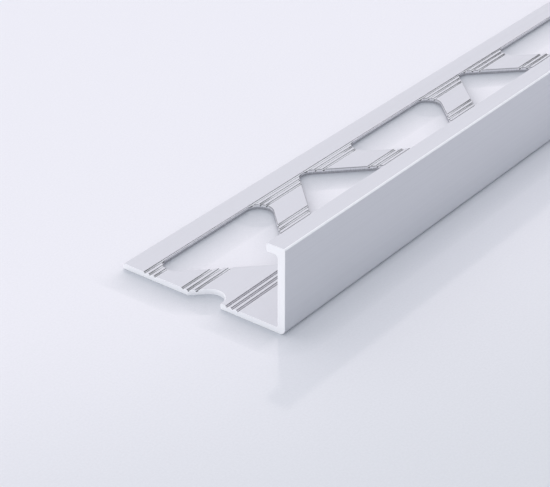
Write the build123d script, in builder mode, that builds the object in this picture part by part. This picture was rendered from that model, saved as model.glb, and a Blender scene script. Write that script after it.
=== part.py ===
from build123d import *
from math import ceil, cos, radians, sin, tan
import os

# Square edge tile trim: one extruded length of aluminium, punched afterwards.
# A thin perforated leg lies under the tile, a wall stands along the tile's edge,
# and a short lip turns back over that edge, level with the face of the tile.
# X runs along the trim from one cut end, Y across it from the wall to the tip of the leg, Z up.
# The origin is under the middle of the trim, on the plane that its leg lies on.

# Driving sizes, in millimetres
trim_length = 1000.0
trim_height = 12.5
leg_width = 27.0
wall_thickness = 1.15
leg_thickness = 0.8
lip_width = 2.9
lip_thickness = 1.2

# Rounded edges of the section
heel_radius = 0.8
crown_radius = 0.3
lip_tip_radius = 0.2
lip_root_radius = 0.5
leg_root_radius = 0.3
leg_tip_radius = 0.35

# Punched openings: triangles with round corners, every second one turned about,
# so that a zigzag web of even width is left between them
opening_depth = 12.9
opening_side_angle = 45.0
opening_corner_radius = 2.1
web_width = 5.05
tip_band_width = 3.75
first_opening_offset = -8.45

# Grip grooves along the top of the leg, in three groups: near the wall, half way across,
# and beside the tip band, where the outermost one just reaches the long sides of the openings
groove_width = 0.45
groove_depth = 0.22
groove_pitch = 0.87
grooves_in_group = 3
inner_group_place = 7.55
middle_group_place = 14.88
tip_groove_setback = 0.13

# Lines across the trim that follow from those sizes
wall_face = -leg_width / 2
wall_back = wall_face + wall_thickness
leg_tip = leg_width / 2
tip_round = min(leg_tip_radius, leg_thickness * 0.45)
lip_tip = wall_face + lip_width
lip_underside = trim_height - lip_thickness
opening_base = leg_tip - tip_band_width
opening_middle = opening_base - opening_depth / 2

# An opening's outline before its corners are rounded, and the way from one opening to the next
side_angle = radians(opening_side_angle)
sharp_depth = opening_depth + opening_corner_radius * (1 / cos(side_angle) - 1)
half_base = sharp_depth / tan(side_angle)
opening_pitch = (2 * sharp_depth - opening_depth) / tan(side_angle) + web_width / sin(side_angle)
opening_count = ceil((trim_length - first_opening_offset + half_base) / opening_pitch)

# Where the groups of grooves start across the trim
tip_group_span = groove_pitch * (grooves_in_group - 1)
group_starts = (
    wall_face + inner_group_place,
    wall_face + middle_group_place,
    opening_base - tip_groove_setback - tip_group_span,
)

with BuildSketch() as opening:
    with BuildLine():
        Polyline(
            (-half_base, opening_depth / 2),
            (half_base, opening_depth / 2),
            (0, opening_depth / 2 - sharp_depth),
            close=True,
        )
    make_face()
    fillet(opening.vertices(), opening_corner_radius)

with BuildPart() as edge_trim:
    # The section, each corner with its radius
    with BuildSketch(Plane.YZ) as section:
        corners = (
            ((wall_face, 0), heel_radius),
            ((leg_tip, 0), tip_round),
            ((leg_tip, leg_thickness), tip_round),
            ((wall_back, leg_thickness), leg_root_radius),
            ((wall_back, lip_underside), lip_root_radius),
            ((lip_tip, lip_underside), lip_tip_radius),
            ((lip_tip, trim_height), lip_tip_radius),
            ((wall_face, trim_height), crown_radius),
        )
        with BuildLine():
            places = [place for place, _ in corners]
            FilletPolyline(places, radius=[radius for _, radius in corners], close=True)
        make_face()
        for start in group_starts:
            for i in range(grooves_in_group):
                groove = start + groove_pitch * i
                Polygon(
                    (groove - groove_width / 2, leg_thickness),
                    (groove, leg_thickness - groove_depth),
                    (groove + groove_width / 2, leg_thickness),
                    align=None,
                    mode=Mode.SUBTRACT,
                )
    extrude(amount=trim_length / 2, both=True)

    # The row of openings, which the cut ends pass through wherever they fall
    with BuildSketch(Plane.XY) as perforation:
        for i in range(opening_count):
            along = -trim_length / 2 + first_opening_offset + opening_pitch * i
            turn = 180 if i % 2 == 0 else 0
            with Locations(Location((along, opening_middle, 0), (0, 0, turn))):
                add(opening.sketch)
    extrude(amount=leg_thickness, mode=Mode.SUBTRACT)

edge_trim.part.label = "edge_trim"
os.makedirs("parts", exist_ok=True)
export_step(edge_trim.part, "parts/edge_trim.step")
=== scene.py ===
"""The looks of a punched aluminium tile edge trim: its mesh, its finishes and a plain studio."""

import logging
import math
from collections.abc import Iterable, Sequence
from dataclasses import dataclass, field
from enum import IntEnum

import bmesh
import bpy
from bmesh.types import BMEdge, BMesh, BMFace, BMVert
from mathutils import Matrix, Vector


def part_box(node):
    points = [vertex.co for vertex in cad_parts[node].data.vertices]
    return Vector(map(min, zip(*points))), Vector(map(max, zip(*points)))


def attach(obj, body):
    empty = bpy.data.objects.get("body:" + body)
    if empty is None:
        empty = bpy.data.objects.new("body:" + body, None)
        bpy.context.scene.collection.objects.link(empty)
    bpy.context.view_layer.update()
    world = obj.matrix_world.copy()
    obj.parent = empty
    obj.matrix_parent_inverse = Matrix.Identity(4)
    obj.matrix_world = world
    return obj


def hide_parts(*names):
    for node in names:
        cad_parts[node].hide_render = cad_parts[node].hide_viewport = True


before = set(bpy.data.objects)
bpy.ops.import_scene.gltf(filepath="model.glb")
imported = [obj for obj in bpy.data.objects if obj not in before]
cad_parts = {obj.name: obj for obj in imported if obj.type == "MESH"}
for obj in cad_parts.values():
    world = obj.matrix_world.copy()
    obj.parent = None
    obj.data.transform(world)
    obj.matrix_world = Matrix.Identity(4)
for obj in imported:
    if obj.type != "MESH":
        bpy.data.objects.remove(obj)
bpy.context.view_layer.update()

log = logging.getLogger("edge_trim")

MM = 0.001
NODE = "edge_trim"
BODY = "root"

Triple = tuple[float, float, float]
Colour = Triple


def direction(heading: float, lift: float) -> Triple:
    """Says where a heading and a lift point.

    Args:
        heading: The angle from X towards Y, in radians.
        lift: The angle above the floor, in radians.

    Returns:
        The direction as a unit vector.
    """
    level = math.cos(lift)
    return level * math.cos(heading), level * math.sin(heading), math.sin(lift)


class Surface(IntEnum):
    """The surfaces of the trim that differ in finish, numbered as its material slots."""

    EXTRUDED = 0
    SAWN = 1
    PUNCHED = 2
    GROOVED = 3


# Shape


@dataclass(frozen=True)
class Corner:
    """A corner of the section before it is rounded, in millimetres."""

    across: float
    up: float
    radius: float


@dataclass(frozen=True)
class Section:
    """The cross section in millimetres: a leg, a wall on its inner edge and a lip over the wall."""

    width: float
    height: float
    wall: float = 1.15
    leg: float = 0.8
    lip_width: float = 2.9
    lip_thickness: float = 1.2
    heel_radius: float = 0.8
    crown_radius: float = 0.3
    lip_tip_radius: float = 0.2
    lip_root_radius: float = 0.5
    leg_root_radius: float = 0.3
    leg_tip_radius: float = 0.35
    sheet_margin: float = 0.6

    @property
    def outer_face(self) -> float:
        """Where the outer face of the wall lies across the trim."""
        return -self.width / 2

    @property
    def tip(self) -> float:
        """Where the leg ends across the trim."""
        return self.width / 2

    @property
    def sheet_start(self) -> float:
        """Where the flat sheet of the leg begins, just clear of its root."""
        return self.outer_face + self.wall + self.sheet_margin

    @property
    def sheet_end(self) -> float:
        """Where the flat sheet of the leg ends, just short of its rounded tip."""
        return self.tip - self.sheet_margin

    def wall_corners(self) -> list[Corner]:
        """The way round the wall and the lip, from the top of the leg to its underside.

        Returns:
            The corners in order. The first and the last are open ends on the sheet of the leg.
        """
        back = self.outer_face + self.wall
        lip_tip = self.outer_face + self.lip_width
        underside = self.height - self.lip_thickness
        return [
            Corner(self.sheet_start, self.leg, 0.0),
            Corner(back, self.leg, self.leg_root_radius),
            Corner(back, underside, self.lip_root_radius),
            Corner(lip_tip, underside, self.lip_tip_radius),
            Corner(lip_tip, self.height, self.lip_tip_radius),
            Corner(self.outer_face, self.height, self.crown_radius),
            Corner(self.outer_face, 0.0, self.heel_radius),
            Corner(self.sheet_start, 0.0, 0.0),
        ]

    def tip_corners(self) -> list[Corner]:
        """The way round the rounded tip of the leg, from its underside to its top.

        Returns:
            The corners in order. The first and the last are open ends on the sheet of the leg.
        """
        return [
            Corner(self.sheet_end, 0.0, 0.0),
            Corner(self.tip, 0.0, self.leg_tip_radius),
            Corner(self.tip, self.leg, self.leg_tip_radius),
            Corner(self.sheet_end, self.leg, 0.0),
        ]


@dataclass(frozen=True)
class Grooves:
    """Three groups of fine V grooves along the top of the leg, in millimetres."""

    width: float = 0.45
    depth: float = 0.22
    pitch: float = 0.87
    in_group: int = 3
    inner_group: float = 7.55
    middle_group: float = 14.88
    tip_setback: float = 0.13

    def centres(self, section: Section, opening_base: float) -> list[float]:
        """Works out where the grooves run.

        Args:
            section: The cross section that they are drawn along.
            opening_base: Where the long sides of the outer openings lie across the trim.

        Returns:
            The place of each groove's deepest line across the trim.
        """
        span = self.pitch * (self.in_group - 1)
        starts = (
            section.outer_face + self.inner_group,
            section.outer_face + self.middle_group,
            opening_base - self.tip_setback - span,
        )
        return [start + self.pitch * i for start in starts for i in range(self.in_group)]

    def divide(self, section: Section) -> float:
        """Where the middle of the land lies, between the inner and the middle group."""
        inner_end = self.inner_group + self.pitch * (self.in_group - 1)
        return section.outer_face + (inner_end + self.middle_group) / 2

    def depth_at(self, across: float, centres: Iterable[float]) -> float:
        """How far the top of the leg dips at a place across the trim.

        Args:
            across: The place across the trim.
            centres: The places of the grooves.

        Returns:
            The depth of the groove there, or 0 between grooves.
        """
        nearest = min(abs(across - centre) for centre in centres)
        return self.depth * max(0.0, 1 - nearest / (self.width / 2))


@dataclass(frozen=True)
class Punching:
    """The row of punched openings in millimetres: round-cornered triangles, each turned about."""

    depth: float = 12.9
    side_angle: float = math.radians(45)
    corner_radius: float = 2.1
    web: float = 5.05
    tip_band: float = 3.75
    first_offset: float = -8.45
    rollover_width: float = 0.16
    rollover_depth: float = 0.12
    rollover_steps: int = 3
    shear_depth: float = 0.4
    breakout: float = 0.05
    steps_round: int = 80
    # How far from each end the punched walls take the pale sawn finish, as painted light.
    lit_notch_reach: float = 2.4

    @property
    def sharp_depth(self) -> float:
        """The depth of an opening before its corners are rounded."""
        return self.depth + self.corner_radius * (1 / math.cos(self.side_angle) - 1)

    @property
    def pitch(self) -> float:
        """The way along the trim from one opening to the next."""
        run = (2 * self.sharp_depth - self.depth) / math.tan(self.side_angle)
        return run + self.web / math.sin(self.side_angle)

    def base(self, section: Section) -> float:
        """Where the long sides of the outer openings lie across the trim."""
        return section.tip - self.tip_band

    def count(self, length: float) -> int:
        """How many openings a trim of that length touches."""
        half_base = self.sharp_depth / math.tan(self.side_angle)
        return math.ceil((length - self.first_offset + half_base) / self.pitch)

    def rim(self, leg: float) -> list[Vector]:
        """The profile of the rim, from the drawn-in top edge down to the underside.

        Args:
            leg: The thickness of the leg.

        Returns:
            Points with X as the distance from the centre of a round corner, and Z up.
        """
        drawn_in = []
        for i in range(self.rollover_steps + 1):
            turn = math.pi / 2 * i / self.rollover_steps
            out = self.corner_radius + self.rollover_width * (1 - math.sin(turn))
            drawn_in.append(Vector((out, 0, leg - self.rollover_depth * (1 - math.cos(turn)))))
        sheared = Vector((self.corner_radius, 0, leg - self.shear_depth))
        broken_out = Vector((self.corner_radius + self.breakout, 0, 0))
        return [*drawn_in, sheared, broken_out]

    def corner_shift(self, heading: float) -> Vector:
        """Says which corner of the triangle a point of a round rim belongs to.

        Args:
            heading: The point's direction from the middle of the round rim, in radians.

        Returns:
            The way from the middle of the opening to that corner's centre.
        """
        turn = heading % math.tau
        base_centre = self.depth / 2 - self.corner_radius
        corner_setback = self.corner_radius / math.tan(self.side_angle / 2)
        half_run = self.sharp_depth / math.tan(self.side_angle) - corner_setback
        apex = 1.5 * math.pi
        apex_start, apex_end = apex - self.side_angle, apex + self.side_angle
        if apex_start < turn < apex_end:
            return Vector((0, -base_centre, 0))
        if math.pi / 2 < turn < apex_start:
            return Vector((-half_run, base_centre, 0))
        return Vector((half_run, base_centre, 0))


@dataclass
class EdgeTrim:
    """The trim as one closed mesh in millimetres: swept, punched, grooved and sawn to length."""

    length: float
    section: Section
    punching: Punching = field(default_factory=Punching)
    grooves: Grooves = field(default_factory=Grooves)
    overlength: float = 30.0
    end_chamfer: float = 0.03
    arc_segments: int = 6
    sharp_angle: float = math.radians(35)
    flat_angle: float = math.radians(0.5)
    level_normal: float = 0.99999
    tolerance: float = 1e-4
    name: str = "edge_trim_finished"

    def build(self, finishes: Sequence[bpy.types.Material]) -> bpy.types.Object:
        """Makes the trim and places it in the row frame.

        Args:
            finishes: One material for each member of Surface, in order.

        Returns:
            The trim as an object at the origin, in metres.
        """
        bm = bmesh.new()
        self._sweep(bm, self.section.wall_corners())
        self._sweep(bm, self.section.tip_corners())
        self._punch_rims(bm)
        for level in (0.0, self.section.leg):
            self._lay_sheet(bm, level)
        bmesh.ops.remove_doubles(bm, verts=bm.verts, dist=self.tolerance)
        self._draw_grooves(bm)
        self._saw_ends(bm)
        bmesh.ops.recalc_face_normals(bm, faces=bm.faces)
        self._soften(bm)
        return self._as_object(bm, finishes)

    def _sweep(self, bm: BMesh, corners: Sequence[Corner]) -> None:
        """Draws a stretch of the section along the trim, a little longer than its final length.

        Args:
            bm: The mesh to add to.
            corners: The corners of the stretch, each with the radius that rounds it.
        """
        start = -self.length / 2 - self.overlength
        verts = [bm.verts.new((start, corner.across, corner.up)) for corner in corners]
        for pair in zip(verts, verts[1:]):
            bm.edges.new(pair)
        first = verts[0]
        for vert, corner in zip(verts, corners):
            if corner.radius:
                bmesh.ops.bevel(
                    bm, geom=[vert], offset=corner.radius, offset_type="OFFSET",
                    segments=self.arc_segments, profile=0.5, affect="VERTICES", material=-1,
                )
        swept = bmesh.ops.extrude_edge_only(bm, edges=self._connected(first))
        moved = [item for item in swept["geom"] if isinstance(item, BMVert)]
        bmesh.ops.translate(bm, verts=moved, vec=(self.length + 2 * self.overlength, 0, 0))

    @staticmethod
    def _connected(vert: BMVert) -> list[BMEdge]:
        """Follows a wire from one of its ends.

        Args:
            vert: The end to start from.

        Returns:
            The edges of the wire, in order.
        """
        edges: list[BMEdge] = []
        while True:
            onward = [edge for edge in vert.link_edges if edge not in edges[-1:]]
            if not onward:
                return edges
            edges.append(onward[0])
            vert = onward[0].other_vert(vert)

    def _punch_rims(self, bm: BMesh) -> None:
        """Adds the openings' rims, each spun as a round one and then drawn out to three corners.

        Args:
            bm: The mesh to add to.
        """
        punching = self.punching
        rim = bmesh.new()
        profile = [rim.verts.new(point) for point in punching.rim(self.section.leg)]
        wire = [rim.edges.new(pair) for pair in zip(profile, profile[1:])]
        half_step = math.pi / punching.steps_round
        turned = Matrix.Rotation(half_step, 3, "Z")
        bmesh.ops.rotate(rim, verts=profile, cent=(0, 0, 0), matrix=turned)
        bmesh.ops.spin(
            rim, geom=profile + wire, cent=(0, 0, 0), axis=(0, 0, 1), dvec=(0, 0, 0),
            angle=math.tau, steps=punching.steps_round, use_merge=True, use_duplicate=False,
        )
        for vert in rim.verts:
            vert.co += punching.corner_shift(math.atan2(vert.co.y, vert.co.x))
        for face in rim.faces:
            is_wall = max(vert.co.z for vert in face.verts) < self.section.leg - self.tolerance
            face.material_index = Surface.PUNCHED if is_wall else Surface.EXTRUDED
        middle = punching.base(self.section) - punching.depth / 2
        for i in range(punching.count(self.length)):
            along = -self.length / 2 + punching.first_offset + punching.pitch * i
            turn = math.pi if i % 2 == 0 else 0.0
            place = Matrix.Translation((along, middle, 0)) @ Matrix.Rotation(turn, 4, "Z")
            self._add_copy(bm, rim, place)
        rim.free()

    @staticmethod
    def _add_copy(bm: BMesh, source: BMesh, place: Matrix) -> None:
        """Adds a placed copy of one mesh to another.

        Args:
            bm: The mesh to add to.
            source: The mesh to copy, which stays as it is.
            place: Where the copy goes.
        """
        carrier = bpy.data.meshes.new("copy")
        source.to_mesh(carrier)
        carrier.transform(place)
        bm.from_mesh(carrier)
        bpy.data.meshes.remove(carrier)

    def _lay_sheet(self, bm: BMesh, level: float) -> None:
        """Fills the flat sheet of the leg at one level, round the rims of the openings.

        Args:
            bm: The mesh to add to.
            level: The height of the sheet.
        """
        section = self.section
        low = section.sheet_start - self.tolerance
        high = section.sheet_end + self.tolerance

        def on_sheet(vert: BMVert) -> bool:
            """Whether a vertex lies on the outline of this sheet."""
            return abs(vert.co.z - level) < self.tolerance and low <= vert.co.y <= high

        outline = [edge for edge in bm.edges if edge.is_boundary and all(map(on_sheet, edge.verts))]
        reach = self.length / 2 + self.overlength - self.tolerance
        corners = sorted(
            {vert for edge in outline for vert in edge.verts if abs(vert.co.x) > reach},
            key=lambda vert: (vert.co.x, vert.co.y),
        )
        for pair in (corners[:2], corners[2:]):
            outline += bmesh.ops.contextual_create(bm, geom=pair)["edges"]
        bmesh.ops.triangle_fill(
            bm, use_beauty=True, use_dissolve=False, edges=outline, normal=(0, 0, 1),
        )

    def _draw_grooves(self, bm: BMesh) -> None:
        """Cuts the leg along the lines of each groove and sinks the cuts to the groove's depth.

        Args:
            bm: The mesh to change.
        """
        grooves = self.grooves
        centres = grooves.centres(self.section, self.punching.base(self.section))
        for centre in centres:
            for line in (centre - grooves.width / 2, centre, centre + grooves.width / 2):
                faces = [face for face in bm.faces if self._spans(face, line)]
                edges = dict.fromkeys(edge for face in faces for edge in face.edges)
                verts = dict.fromkeys(vert for face in faces for vert in face.verts)
                bmesh.ops.bisect_plane(
                    bm, geom=[*verts, *edges, *faces], dist=self.tolerance,
                    plane_co=(0, line, 0), plane_no=(0, 1, 0),
                )
        lowest = self.section.leg - self.punching.rollover_depth - self.tolerance
        highest = self.section.leg + self.tolerance
        top = [vert for vert in bm.verts if lowest < vert.co.z <= highest]
        on_top = set(top)
        for face in bm.faces:
            in_groove = grooves.depth_at(face.calc_center_median().y, centres)
            if in_groove and on_top.issuperset(face.verts):
                face.material_index = Surface.GROOVED
        for vert in top:
            vert.co.z -= grooves.depth_at(vert.co.y, centres)

    def _spans(self, face: BMFace, line: float) -> bool:
        """Whether a face of the leg lies across a line that runs along the trim.

        Args:
            face: Any face of the mesh.
            line: Where the line lies across the trim.

        Returns:
            True for a face no higher than the leg, with the line between its sides.
        """
        across = [vert.co.y for vert in face.verts]
        low_enough = all(vert.co.z <= self.section.leg + self.tolerance for vert in face.verts)
        return low_enough and min(across) < line < max(across)

    def _saw_ends(self, bm: BMesh) -> None:
        """Saws the trim to length and closes each end with a flat face and a fine broken edge.

        Args:
            bm: The mesh to change.
        """
        for side in (-1, 1):
            place = (side * (self.length / 2 - self.end_chamfer), 0, 0)
            cut = bmesh.ops.bisect_plane(
                bm, geom=[*bm.verts, *bm.edges, *bm.faces], dist=self.tolerance,
                plane_co=place, plane_no=(side, 0, 0), clear_outer=True,
            )
            self._straighten(bm, [item for item in cut["geom_cut"] if isinstance(item, BMVert)])
            outline = [edge for edge in bm.edges if edge.is_boundary]
            caps = bmesh.ops.edgenet_fill(bm, edges=outline, mat_nr=Surface.SAWN)["faces"]
            for cap in caps:
                if cap.normal.x * side < 0:
                    cap.normal_flip()
            ring = bmesh.ops.inset_region(
                bm, faces=caps, thickness=self.end_chamfer, depth=self.end_chamfer,
                use_boundary=True, use_even_offset=True,
            )["faces"]
            # The punched walls near each end take the pale sawn finish: painted light where the
            # open end lets light onto them.
            cleaned = self.length / 2 - self.punching.lit_notch_reach
            punched = [face for face in bm.faces if face.material_index == Surface.PUNCHED]
            notch = [face for face in punched if side * face.calc_center_median().x > cleaned]
            for face in (*caps, *ring, *notch):
                face.material_index = Surface.SAWN

    def _straighten(self, bm: BMesh, outline: Sequence[BMVert]) -> None:
        """Takes out the vertices of a sawn outline that lie on its straight stretches.

        Args:
            bm: The mesh to change.
            outline: The vertices of the outline.
        """
        spare = []
        for vert in outline:
            rim = [edge for edge in vert.link_edges if edge.is_boundary]
            ways = [(edge.other_vert(vert).co - vert.co).normalized() for edge in rim]
            normal = vert.link_faces[0].normal
            flat = all(face.normal.angle(normal) < self.flat_angle for face in vert.link_faces)
            if flat and len(ways) == 2 and ways[0].angle(-ways[1]) < self.flat_angle:
                spare.append(vert)
        bmesh.ops.dissolve_verts(bm, verts=spare)

    def _soften(self, bm: BMesh) -> None:
        """Smooths the round stretches and keeps the real edges sharp.

        Args:
            bm: The mesh to change.
        """
        for face in bm.faces:
            face.smooth = True
        for edge in bm.edges:
            level = [abs(face.normal.z) > self.level_normal for face in edge.link_faces]
            turn = edge.calc_face_angle() if len(level) == 2 else math.pi
            edge.smooth = turn < self.sharp_angle and level[0] == level[1]

    def _as_object(self, bm: BMesh, finishes: Sequence[bpy.types.Material]) -> bpy.types.Object:
        """Turns the worked mesh into an object of the scene, in metres.

        Args:
            bm: The finished mesh in millimetres, which is freed.
            finishes: One material for each member of Surface, in order.

        Returns:
            The object, at the origin.
        """
        open_edges = sum(1 for edge in bm.edges if len(edge.link_faces) != 2)
        if open_edges:
            log.warning("%s: %d edges don't join two faces", self.name, open_edges)
        bmesh.ops.triangulate(bm, faces=bm.faces, quad_method="BEAUTY", ngon_method="BEAUTY")
        bmesh.ops.scale(bm, vec=(MM, MM, MM), verts=bm.verts)
        mesh = bpy.data.meshes.new(self.name)
        bm.to_mesh(mesh)
        bm.free()
        for finish in finishes:
            mesh.materials.append(finish)
        trim = bpy.data.objects.new(self.name, mesh)
        bpy.context.scene.collection.objects.link(trim)
        even = trim.modifiers.new("even shading", "WEIGHTED_NORMAL")
        even.keep_sharp = True
        return trim


# Finishes
#
# Lengths written times MM are in metres, as nodes take them. The others are in millimetres.


class Nodes:
    """A short way to lay out the nodes of a material or of the world."""

    usual_noise: tuple[float, float] = (0.3, 0.7)

    def __init__(self, tree: bpy.types.NodeTree) -> None:
        """Starts on an emptied node tree.

        Args:
            tree: The tree of a material or of the world.
        """
        self.tree = tree
        tree.nodes.clear()

    @classmethod
    def of_material(cls, name: str) -> tuple["Nodes", bpy.types.Material]:
        """Starts a material.

        Args:
            name: The material's name.

        Returns:
            The helper for its nodes, and the material.
        """
        material = bpy.data.materials.new(name)
        material.use_nodes = True
        return cls(material.node_tree), material

    def add(self, kind: str, inputs: dict[str | int, object] | None = None,
            **settings: object) -> bpy.types.Node:
        """Adds a node.

        Args:
            kind: The node's type.
            inputs: A value or an output of another node for each named input.
            settings: The node's own settings.

        Returns:
            The node.
        """
        node = self.tree.nodes.new(kind)
        for key, value in settings.items():
            setattr(node, key, value)
        for key, value in (inputs or {}).items():
            self.feed(node.inputs[key], value)
        return node

    def feed(self, socket: bpy.types.NodeSocket, value: object) -> None:
        """Links an output to a socket, or sets the socket to a value.

        Args:
            socket: The input to fill.
            value: An output socket, a number, a vector or a colour.
        """
        if isinstance(value, bpy.types.NodeSocket):
            self.tree.links.new(value, socket)
        elif socket.type == "RGBA" and len(value) == 3:
            socket.default_value = (*value, 1.0)
        else:
            socket.default_value = value

    def here(self) -> bpy.types.NodeSocket:
        """Object coordinates."""
        return self.add("ShaderNodeTexCoord").outputs["Object"]

    def parts(self, vector: bpy.types.NodeSocket) -> bpy.types.NodeOutputs:
        """The X, Y and Z of a vector."""
        return self.add("ShaderNodeSeparateXYZ", {"Vector": vector}).outputs

    def place(self, scale: Triple, shift: Triple = (0, 0, 0)) -> bpy.types.NodeSocket:
        """Object coordinates, scaled for a pattern.

        Args:
            scale: How many times the pattern repeats in a metre, along each axis.
            shift: How far the pattern moves, after it is scaled.

        Returns:
            The coordinates.
        """
        mapped = self.add(
            "ShaderNodeMapping", {"Vector": self.here(), "Scale": scale, "Location": shift},
        )
        return mapped.outputs["Vector"]

    def noise(self, scale: Triple, detail: float = 2.0, rough: float = 0.5) -> bpy.types.NodeSocket:
        """A noise of about one feature for each repeat of its scale.

        Args:
            scale: Features in a metre along each axis.
            detail: How many finer layers it has.
            rough: How strong they are.

        Returns:
            The noise, from 0 to 1.
        """
        made = self.add(
            "ShaderNodeTexNoise",
            {"Vector": self.place(scale), "Scale": 1.0, "Detail": detail, "Roughness": rough},
        )
        return made.outputs["Fac"]

    def between(self, value: bpy.types.NodeSocket, low: float, high: float, start: float = 0.0,
                end: float = 1.0, interpolation: str = "LINEAR") -> bpy.types.NodeSocket:
        """Maps a value from one range onto another.

        Args:
            value: The value.
            low: What it becomes at start.
            high: What it becomes at end.
            start: Where the range begins.
            end: Where the range ends.
            interpolation: The node's way from low to high.

        Returns:
            The mapped value.
        """
        mapped = self.add(
            "ShaderNodeMapRange",
            {"Value": value, "From Min": start, "From Max": end, "To Min": low, "To Max": high},
            interpolation_type=interpolation,
        )
        return mapped.outputs["Result"]

    def spread(self, noise: bpy.types.NodeSocket, low: float, high: float) -> bpy.types.NodeSocket:
        """Maps the usual range of a noise onto another one."""
        return self.between(noise, low, high, *self.usual_noise)

    def math(self, operation: str, first: object, second: object,
             clamp: bool = False) -> bpy.types.NodeSocket:
        """Works out one number from two.

        Args:
            operation: The node's operation.
            first: A number or an output.
            second: A number or an output.
            clamp: Whether the result is kept between 0 and 1.

        Returns:
            The result.
        """
        inputs = {0: first, 1: second}
        node = self.add("ShaderNodeMath", inputs, operation=operation, use_clamp=clamp)
        return node.outputs[0]

    def vector(self, operation: str, first: object, second: object = None,
               result: str = "Vector") -> bpy.types.NodeSocket:
        """Works out a vector, or a number, from one or two vectors.

        Args:
            operation: The node's operation.
            first: A vector or an output.
            second: A vector or an output, for operations that take two.
            result: The name of the output to give.

        Returns:
            The result.
        """
        node = self.add("ShaderNodeVectorMath", {0: first}, operation=operation)
        if second is not None:
            self.feed(node.inputs[1], second)
        return node.outputs[result]

    def mix(self, factor: object, first: object, second: object) -> bpy.types.NodeSocket:
        """Mixes two colours.

        Args:
            factor: 0 gives the first colour and 1 the second.
            first: A colour or an output.
            second: A colour or an output.

        Returns:
            The mixed colour.
        """
        node = self.add("ShaderNodeMix", data_type="RGBA")
        usable = [socket for socket in node.inputs if socket.enabled]
        for name, value in (("Factor", factor), ("A", first), ("B", second)):
            self.feed(next(socket for socket in usable if socket.name == name), value)
        return next(socket for socket in node.outputs if socket.type == "RGBA")

    def bump(self, height: bpy.types.NodeSocket, depth: float,
             under: bpy.types.NodeSocket | None = None) -> bpy.types.NodeSocket:
        """Relief from a height.

        Args:
            height: The height, from 0 to 1.
            depth: What 1 stands for, in metres.
            under: The normal of coarser relief that this lies on.

        Returns:
            The normal.
        """
        node = self.add("ShaderNodeBump", {"Height": height, "Distance": depth, "Strength": 1.0})
        if under is not None:
            self.feed(node.inputs["Normal"], under)
        return node.outputs["Normal"]

    def metal(self, colour: object, roughness: object, normal: bpy.types.NodeSocket,
              gloss: float) -> None:
        """Closes the material with a metal surface.

        Args:
            colour: The metal's colour.
            roughness: Its roughness.
            normal: Its relief.
            gloss: 1 for a clean metal surface, and less for one that is partly matt.
        """
        surface = self.add(
            "ShaderNodeBsdfPrincipled",
            {"Base Color": colour, "Metallic": gloss, "Roughness": roughness, "Normal": normal},
        )
        self.add("ShaderNodeOutputMaterial", {"Surface": surface.outputs["BSDF"]})


@dataclass(frozen=True)
class SatinAnodised:
    """Satin silver anodised aluminium, with faint lines from the die and a painted highlight along
    the round crown.
    """

    section: Section
    name: str = "satin_anodised"
    pale: Colour = (0.69, 0.694, 0.722)
    deep: Colour = (0.666, 0.67, 0.697)
    # The painted highlight along the round crown: its colour, where it begins and how softly.
    crown_highlight: Colour = (0.99, 0.99, 0.995)
    crown_highlight_margin: float = 0.03
    crown_highlight_spread: float = 0.03
    smooth: float = 0.5
    rough: float = 0.56
    gloss: float = 0.6
    line_width: float = 0.16 * MM
    line_length: float = 240 * MM
    line_relief: float = 0.0012 * MM
    grain: float = 0.05 * MM
    grain_relief: float = 0.0016 * MM
    vein_low: float = -0.2
    vein_high: float = 0.4
    cloud: float = 28 * MM
    cloud_stretch: float = 0.3
    cloud_depth: float = 0.6

    def material(self) -> bpy.types.Material:
        """Builds the finish.

        Returns:
            The material.
        """
        nodes, material = Nodes.of_material(self.name)
        across = 1 / self.line_width
        lines = nodes.noise((1 / self.line_length, across, across), detail=3.0, rough=0.6)
        grain = nodes.noise((1 / self.grain,) * 3, detail=2.0)
        clouds = 1 / self.cloud
        cloud = nodes.noise((self.cloud_stretch / self.cloud, clouds, clouds), detail=2.0)
        clouded = nodes.spread(cloud, 0.0, self.cloud_depth)
        veined = nodes.spread(lines, self.vein_low, self.vein_high)
        colour = nodes.mix(nodes.math("ADD", clouded, veined, clamp=True), self.pale, self.deep)
        # A painted highlight along the round crown.
        colour = nodes.mix(self._crown_highlight_mask(nodes), colour, self.crown_highlight)
        roughness = nodes.spread(lines, self.smooth, self.rough)
        relief = nodes.bump(lines, self.line_relief)
        relief = nodes.bump(grain, self.grain_relief, relief)
        nodes.metal(colour, roughness, relief, self.gloss)
        return material

    def _crown_highlight_mask(self, nodes: Nodes) -> bpy.types.NodeSocket:
        """Finds the round crown, where wall and lip meet, which takes the painted highlight.

        Args:
            nodes: The material's nodes.

        Returns:
            1 on the crown, and 0 elsewhere.
        """
        section = self.section
        round_start = (section.height - section.outer_face - section.crown_radius) / math.sqrt(2)
        start = round_start + self.crown_highlight_margin
        diagonal = (0.0, -math.sqrt(0.5), math.sqrt(0.5))
        outward = nodes.vector("DOT_PRODUCT", nodes.here(), diagonal, "Value")
        return nodes.between(outward, 0.0, 1.0, start * MM, (start + self.crown_highlight_spread) * MM)


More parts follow.
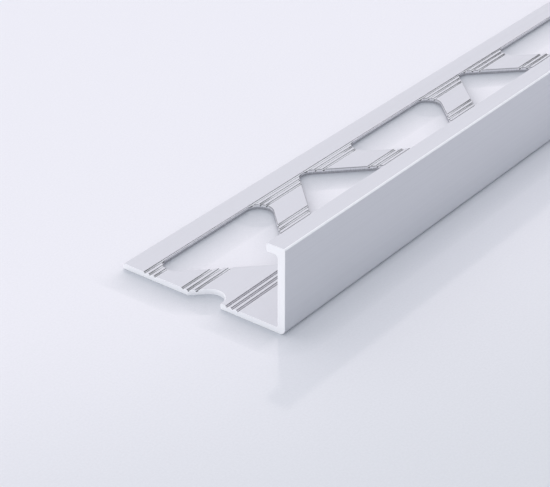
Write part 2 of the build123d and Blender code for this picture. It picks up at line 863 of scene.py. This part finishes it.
@dataclass(frozen=True)
class DrawnGroove:
    """The grip grooves: painted shade on bottoms and shoulders, a painted highlight on the sides,
    and painted shade on the sides near the wall.
    """

    top: float
    depth: float
    divide: float
    name: str = "drawn_groove"
    # The painted highlight on the sides, the painted shade on the sides near the wall, and the
    # painted shade on bottoms and shoulders.
    side_highlight: Colour = (0.98, 0.98, 0.99)
    side_wall_shade: Colour = (0.76, 0.755, 0.77)
    dark: Colour = (0.05, 0.05, 0.053)
    vein: float = 0.15
    roughness: float = 0.18
    gloss: float = 0.9
    bottom_end: float = 0.1
    side_start: float = 0.2
    side_end: float = 0.7
    shoulder_start: float = 0.86
    divide_spread: float = 1.0
    line_width: float = 0.08 * MM
    line_length: float = 60 * MM
    line_relief: float = 0.001 * MM

    def material(self) -> bpy.types.Material:
        """Builds the finish.

        Returns:
            The material.
        """
        nodes, material = Nodes.of_material(self.name)
        across = 1 / self.line_width
        lines = nodes.noise((1 / self.line_length, across, across), detail=3.0, rough=0.6)
        place = nodes.parts(nodes.here())
        bottom, side_start, side_end, shoulder = (
            (self.top - self.depth * (1 - share)) * MM
            for share in (self.bottom_end, self.side_start, self.side_end, self.shoulder_start)
        )
        # Painted shade on the bottoms and the shoulders, set by height.
        bottom_shade = nodes.between(place["Z"], 1.0, 0.0, bottom, side_start)
        shoulder_shade = nodes.between(place["Z"], 0.0, 1.0, side_end, shoulder)
        groove_shade = nodes.math("ADD", bottom_shade, shoulder_shade)
        groove_shade = nodes.math("ADD", groove_shade, nodes.spread(lines, -self.vein, self.vein), clamp=True)
        nearest = (self.divide - self.divide_spread) * MM
        farthest = (self.divide + self.divide_spread) * MM
        # Painted shade on the sides near the wall.
        near_wall_shade = nodes.between(place["Y"], 1.0, 0.0, nearest, farthest)
        colour = nodes.mix(groove_shade, nodes.mix(near_wall_shade, self.side_highlight, self.side_wall_shade), self.dark)
        nodes.metal(colour, self.roughness, nodes.bump(lines, self.line_relief), self.gloss)
        return material


@dataclass(frozen=True)
class SawnAluminium:
    """Bare aluminium with the fine curved marks of a circular saw, which leave it partly matt."""

    name: str = "sawn_aluminium"
    pale: Colour = (0.98, 0.97, 0.98)
    deep: Colour = (0.95, 0.94, 0.95)
    roughness: float = 0.6
    gloss: float = 0.1
    blade_radius: float = 125 * MM
    blade_lift: float = 95 * MM
    mark_pitch: float = 0.11 * MM
    mark_wander: float = 2.5
    mark_wander_scale: float = 0.4
    mark_relief: float = 0.002 * MM
    mark_roughness: float = 0.04
    grain: float = 0.04 * MM
    grain_relief: float = 0.001 * MM

    def material(self) -> bpy.types.Material:
        """Builds the finish.

        Returns:
            The material.
        """
        nodes, material = Nodes.of_material(self.name)
        sideways = math.sqrt(self.blade_radius ** 2 - self.blade_lift ** 2)
        turns = 1 / self.mark_pitch
        middle = (0, sideways * turns, -self.blade_lift * turns)
        centred = nodes.place((0, turns, turns), shift=middle)
        marks = nodes.add(
            "ShaderNodeTexWave",
            {"Vector": centred, "Scale": 1 / math.tau, "Detail": 2.0,
             "Distortion": self.mark_wander, "Detail Scale": self.mark_wander_scale},
            wave_type="RINGS", rings_direction="X",
        ).outputs["Fac"]
        grain = nodes.noise((1 / self.grain,) * 3, detail=2.0)
        colour = nodes.mix(marks, self.deep, self.pale)
        relief = nodes.bump(marks, self.mark_relief)
        relief = nodes.bump(grain, self.grain_relief, relief)
        smoothest = self.roughness - self.mark_roughness
        roughness = nodes.between(marks, smoothest, self.roughness + self.mark_roughness)
        nodes.metal(colour, roughness, relief, self.gloss)
        return material


@dataclass(frozen=True)
class PunchedEdge:
    """The walls of the openings: painted shade on the drawn-in rim, a burnished band, and a broken
    band whose low tone is partly its rough finish and partly painted shade.
    """

    top: float
    rollover: float
    name: str = "punched_edge"
    # Painted shade on the drawn-in rim.
    drawn_in: Colour = (0.34, 0.335, 0.35)
    burnished: Colour = (0.92, 0.91, 0.93)
    # The broken band's low tone: partly its rough finish, partly painted shade.
    broken: Colour = (0.48, 0.475, 0.50)
    gloss: float = 0.6
    burnished_roughness: float = 0.3
    broken_roughness: float = 0.55
    break_level: float = 0.4 * MM
    break_spread: float = 0.06 * MM
    raggedness: float = 0.5
    rim_spread: float = 0.02 * MM
    streak_width: float = 0.07 * MM
    streak_height: float = 1.5 * MM
    streak_relief: float = 0.004 * MM

    def material(self) -> bpy.types.Material:
        """Builds the finish.

        Returns:
            The material.
        """
        nodes, material = Nodes.of_material(self.name)
        across = 1 / self.streak_width
        streaks = nodes.noise((across, across, 1 / self.streak_height), detail=3.0, rough=0.6)
        up = nodes.parts(nodes.here())["Z"]
        low, high = self.break_level - self.break_spread, self.break_level + self.break_spread
        sheared = nodes.between(up, 0.0, 1.0, low, high)
        torn = nodes.spread(streaks, -self.raggedness, self.raggedness)
        ragged = nodes.math("ADD", sheared, torn, clamp=True)
        colour = nodes.mix(ragged, self.broken, self.burnished)
        rim_start = (self.top - self.rollover) * MM
        # Painted shade on the drawn-in rim.
        rim_shade = nodes.between(up, 0.0, 1.0, rim_start, rim_start + self.rim_spread)
        colour = nodes.mix(rim_shade, colour, self.drawn_in)
        roughness = nodes.between(ragged, self.broken_roughness, self.burnished_roughness)
        nodes.metal(colour, roughness, nodes.bump(streaks, self.streak_relief), self.gloss)
        return material


@dataclass(frozen=True)
class PaleFloor:
    """A matt pale floor with painted shade: it deepens softly before the trim's near end and close
    to its edges.
    """

    name: str = "pale_floor"
    pale: Colour = (0.888, 0.878, 0.906)
    # The deep tone of the painted shade before the near end.
    deep: Colour = (0.719, 0.734, 0.753)
    fade_heading: float = math.radians(-116.5)
    fade_start: float = -26 * MM
    fade_end: float = 52 * MM
    pool_inner: float = 130 * MM
    pool_outer: float = 750 * MM
    roughness: float = 0.9
    # The colour of the painted shade close under the trim's edges.
    close: Colour = (0.55, 0.57, 0.60)
    close_reach: float = 5 * MM
    close_full: float = 0.91
    close_falloff: float = 1.05
    close_heading: float = math.radians(42)
    close_lift: float = math.radians(-55)
    close_rays: int = 48
    close_before_wall: float = 0.4
    wall_spread: float = 1 * MM
    grain: float = 0.3 * MM
    grain_tone: Colour = (0.0, 0.0, 0.0)
    grain_depth: float = 0.03

    def material(self, corner: Vector) -> bpy.types.Material:
        """Builds the finish.

        Args:
            corner: The near lower outer corner of the trim's box, from which the fade is measured.

        Returns:
            The material.
        """
        nodes, material = Nodes.of_material(self.name)
        # Painted shade: the floor deepens before the trim's near end.
        colour = nodes.mix(self._painted_fade(nodes, corner), self.pale, self.deep)
        grain = nodes.noise((1 / self.grain,) * 3, detail=1.0)
        colour = nodes.mix(nodes.spread(grain, 0.0, self.grain_depth), colour, self.grain_tone)
        # Painted shade close under the trim's edges.
        colour = nodes.mix(self._closeness(nodes, corner), colour, self.close)
        surface = nodes.add(
            "ShaderNodeBsdfPrincipled",
            {"Base Color": colour, "Roughness": self.roughness, "Specular IOR Level": 0.0},
        )
        nodes.add("ShaderNodeOutputMaterial", {"Surface": surface.outputs["BSDF"]})
        return material

    def _painted_fade(self, nodes: Nodes, corner: Vector) -> bpy.types.NodeSocket:
        """Lays out the wide soft painted shade before the near end.

        Args:
            nodes: The material's nodes.
            corner: The near lower outer corner of the trim's box.

        Returns:
            0 where the floor is pale, and 1 where it is deep.
        """
        front = Vector(direction(self.fade_heading, 0.0))
        along = nodes.vector("DOT_PRODUCT", nodes.here(), tuple(front), "Value")
        start, end = (corner.dot(front) + shift for shift in (self.fade_start, self.fade_end))
        fade = nodes.between(along, 0.0, 1.0, start, end, "SMOOTHSTEP")
        away = nodes.vector("DISTANCE", nodes.here(), tuple(corner), "Value")
        shade_pool = nodes.between(away, 0.0, 1.0, self.pool_outer, self.pool_inner, "SMOOTHSTEP")
        return nodes.math("MULTIPLY", fade, shade_pool)

    def _closeness(self, nodes: Nodes, corner: Vector) -> bpy.types.NodeSocket:
        """Lays out the shade close under the trim's edges, which is fainter before the wall.

        Args:
            nodes: The material's nodes.
            corner: The near lower outer corner of the trim's box.

        Returns:
            0 on the open floor, and more close to an edge.
        """
        towards = direction(self.close_heading, self.close_lift)
        openness = nodes.add(
            "ShaderNodeAmbientOcclusion",
            {"Distance": self.close_reach, "Normal": nodes.vector("NORMALIZE", towards)},
            samples=self.close_rays,
        ).outputs["AO"]
        covered = nodes.between(openness, 1.0, 0.0, self.close_full, 1.0)
        closeness = nodes.math("POWER", covered, self.close_falloff)
        before, behind = corner.y - self.wall_spread, corner.y + self.wall_spread
        across = nodes.parts(nodes.here())["Y"]
        share = nodes.between(across, self.close_before_wall, 1.0, before, behind)
        return nodes.math("MULTIPLY", closeness, share)


# Studio


@dataclass(frozen=True)
class Viewpoint:
    """The photograph's viewpoint, in millimetres from the trim's near lower outer corner."""

    behind_end: float = 144.144
    outside_wall: float = 108.233
    height: float = 119.005
    heading: float = math.radians(37.2875)
    pitch: float = math.radians(30.3642)
    lens: float = 112.886
    sensor: float = 36.0
    nearest: float = 10.0

    def build(self, corner: Vector) -> None:
        """Sets up the camera and makes it the scene's own.

        Args:
            corner: The near lower outer corner of the trim's box, in metres.
        """
        data = bpy.data.cameras.new("photo_camera")
        data.lens = self.lens
        data.sensor_width = self.sensor
        data.clip_start = self.nearest * MM
        camera = bpy.data.objects.new("photo_camera", data)
        bpy.context.scene.collection.objects.link(camera)
        camera.location = corner + MM * Vector((-self.behind_end, -self.outside_wall, self.height))
        camera.rotation_euler = (math.pi / 2 - self.pitch, 0, self.heading - math.pi / 2)
        bpy.context.scene.camera = camera


@dataclass(frozen=True)
class Flag:
    """A small dark flag in the sky, which the metal mirrors."""

    heading: float
    lift: float
    radius: float
    level: float = 0.2
    softness: float = 0.2

    def shade(self, nodes: Nodes, ray: bpy.types.NodeSocket) -> bpy.types.NodeSocket:
        """How much of the sky's light comes past the flag.

        Args:
            nodes: The world's nodes.
            ray: The direction of the light.

        Returns:
            1 beside the flag, and its level on it.
        """
        facing = nodes.vector("DOT_PRODUCT", ray, direction(self.heading, self.lift), "Value")
        rim = math.cos(self.radius)
        core = math.cos(self.radius * (1 - self.softness))
        return nodes.between(facing, 1.0, self.level, rim, core)


@dataclass(frozen=True)
class Sky:
    """A plain soft sky: light behind the trim, dim before its wall, with two small dark flags."""

    light: Colour = (1.234, 1.21, 1.284)
    dim: Colour = (0.58, 0.63, 0.69)
    light_heading: float = math.radians(50)
    light_lift: float = math.radians(20)
    light_falloff: float = 2.0
    flags: tuple[Flag, ...] = (
        Flag(heading=math.radians(-22.4), lift=math.radians(22.7), radius=math.radians(9)),
        Flag(heading=math.radians(-44), lift=math.radians(37.8), radius=math.radians(8)),
    )

    def build(self) -> None:
        """Sets up the world and makes it the scene's own."""
        world = bpy.data.worlds.new("studio_sky")
        world.use_nodes = True
        nodes = Nodes(world.node_tree)
        ray = nodes.add("ShaderNodeTexCoord").outputs["Generated"]
        towards = direction(self.light_heading, self.light_lift)
        facing = nodes.vector("DOT_PRODUCT", ray, towards, "Value")
        lit = nodes.between(facing, 0.0, 1.0, -1.0, 1.0)
        side = nodes.math("POWER", lit, self.light_falloff)
        strength = self.flags[0].shade(nodes, ray)
        for flag in self.flags[1:]:
            strength = nodes.math("MULTIPLY", strength, flag.shade(nodes, ray))
        colour = nodes.mix(side, self.dim, self.light)
        sky = nodes.add("ShaderNodeBackground", {"Color": colour, "Strength": strength})
        nodes.add("ShaderNodeOutputWorld", {"Surface": sky.outputs[0]})
        bpy.context.scene.world = world


@dataclass(frozen=True)
class Lamp:
    """A faint lamp, which lights what is matt and leaves no glare on the metal."""

    name: str
    heading: float
    lift: float
    spread: float
    strength: float
    colour: Colour

    def build(self) -> None:
        """Hangs the lamp in the scene."""
        lamp = bpy.data.lights.new(self.name, "SUN")
        lamp.color = self.colour
        lamp.energy = self.strength
        lamp.angle = self.spread
        light = bpy.data.objects.new(self.name, lamp)
        bpy.context.scene.collection.objects.link(light)
        light.rotation_euler = (math.pi / 2 - self.lift, 0, self.heading + math.pi / 2)
        light.visible_glossy = False


@dataclass(frozen=True)
class Studio:
    """The pale floor and the soft light of the studio."""

    floor_radius: float = 14.0
    floor_sides: int = 96
    lamps: tuple[Lamp, ...] = (
        Lamp(
            "back_light", heading=math.radians(38.2), lift=math.radians(38.3),
            spread=math.radians(3), strength=0.36, colour=(1.0, 0.9, 0.85),
        ),
        Lamp(
            "end_fill", heading=math.radians(185), lift=math.radians(15),
            spread=math.radians(24), strength=0.6, colour=(1.0, 1.0, 1.0),
        ),
    )

    def build(self, corner: Vector) -> None:
        """Sets up the floor and the light.

        Args:
            corner: The near lower outer corner of the trim's box, in metres.
        """
        self._lay_floor(corner)
        Sky().build()
        for lamp in self.lamps:
            lamp.build()

    def _lay_floor(self, corner: Vector) -> None:
        """Lays the floor under the trim.

        Args:
            corner: The near lower outer corner of the trim's box, in metres.
        """
        bm = bmesh.new()
        bmesh.ops.create_circle(
            bm, cap_ends=True, segments=self.floor_sides, radius=self.floor_radius,
        )
        mesh = bpy.data.meshes.new("studio_floor")
        bm.to_mesh(mesh)
        bm.free()
        mesh.materials.append(PaleFloor().material(corner))
        floor = bpy.data.objects.new("studio_floor", mesh)
        bpy.context.scene.collection.objects.link(floor)


def main() -> None:
    """Builds the trim and the studio round it."""
    logging.basicConfig(level=logging.INFO, format="%(name)s: %(message)s")
    low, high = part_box(NODE)
    span = (high - low) / MM
    section = Section(width=span.y, height=span.z)
    trim = EdgeTrim(span.x, section)
    punched = PunchedEdge(section.leg, trim.punching.rollover_depth)
    groove = DrawnGroove(section.leg, trim.grooves.depth, trim.grooves.divide(section))
    looks = (SatinAnodised(section), SawnAluminium(), punched, groove)
    piece = trim.build([finish.material() for finish in looks])
    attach(piece, BODY)
    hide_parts(NODE)
    openings = trim.punching.count(trim.length)
    log.info("%s: %d triangles, %d openings", piece.name, len(piece.data.polygons), openings)

    Viewpoint().build(low)
    Studio().build(low)
    bpy.context.scene.view_settings.view_transform = "Standard"


if __name__ == "__main__":
    main()
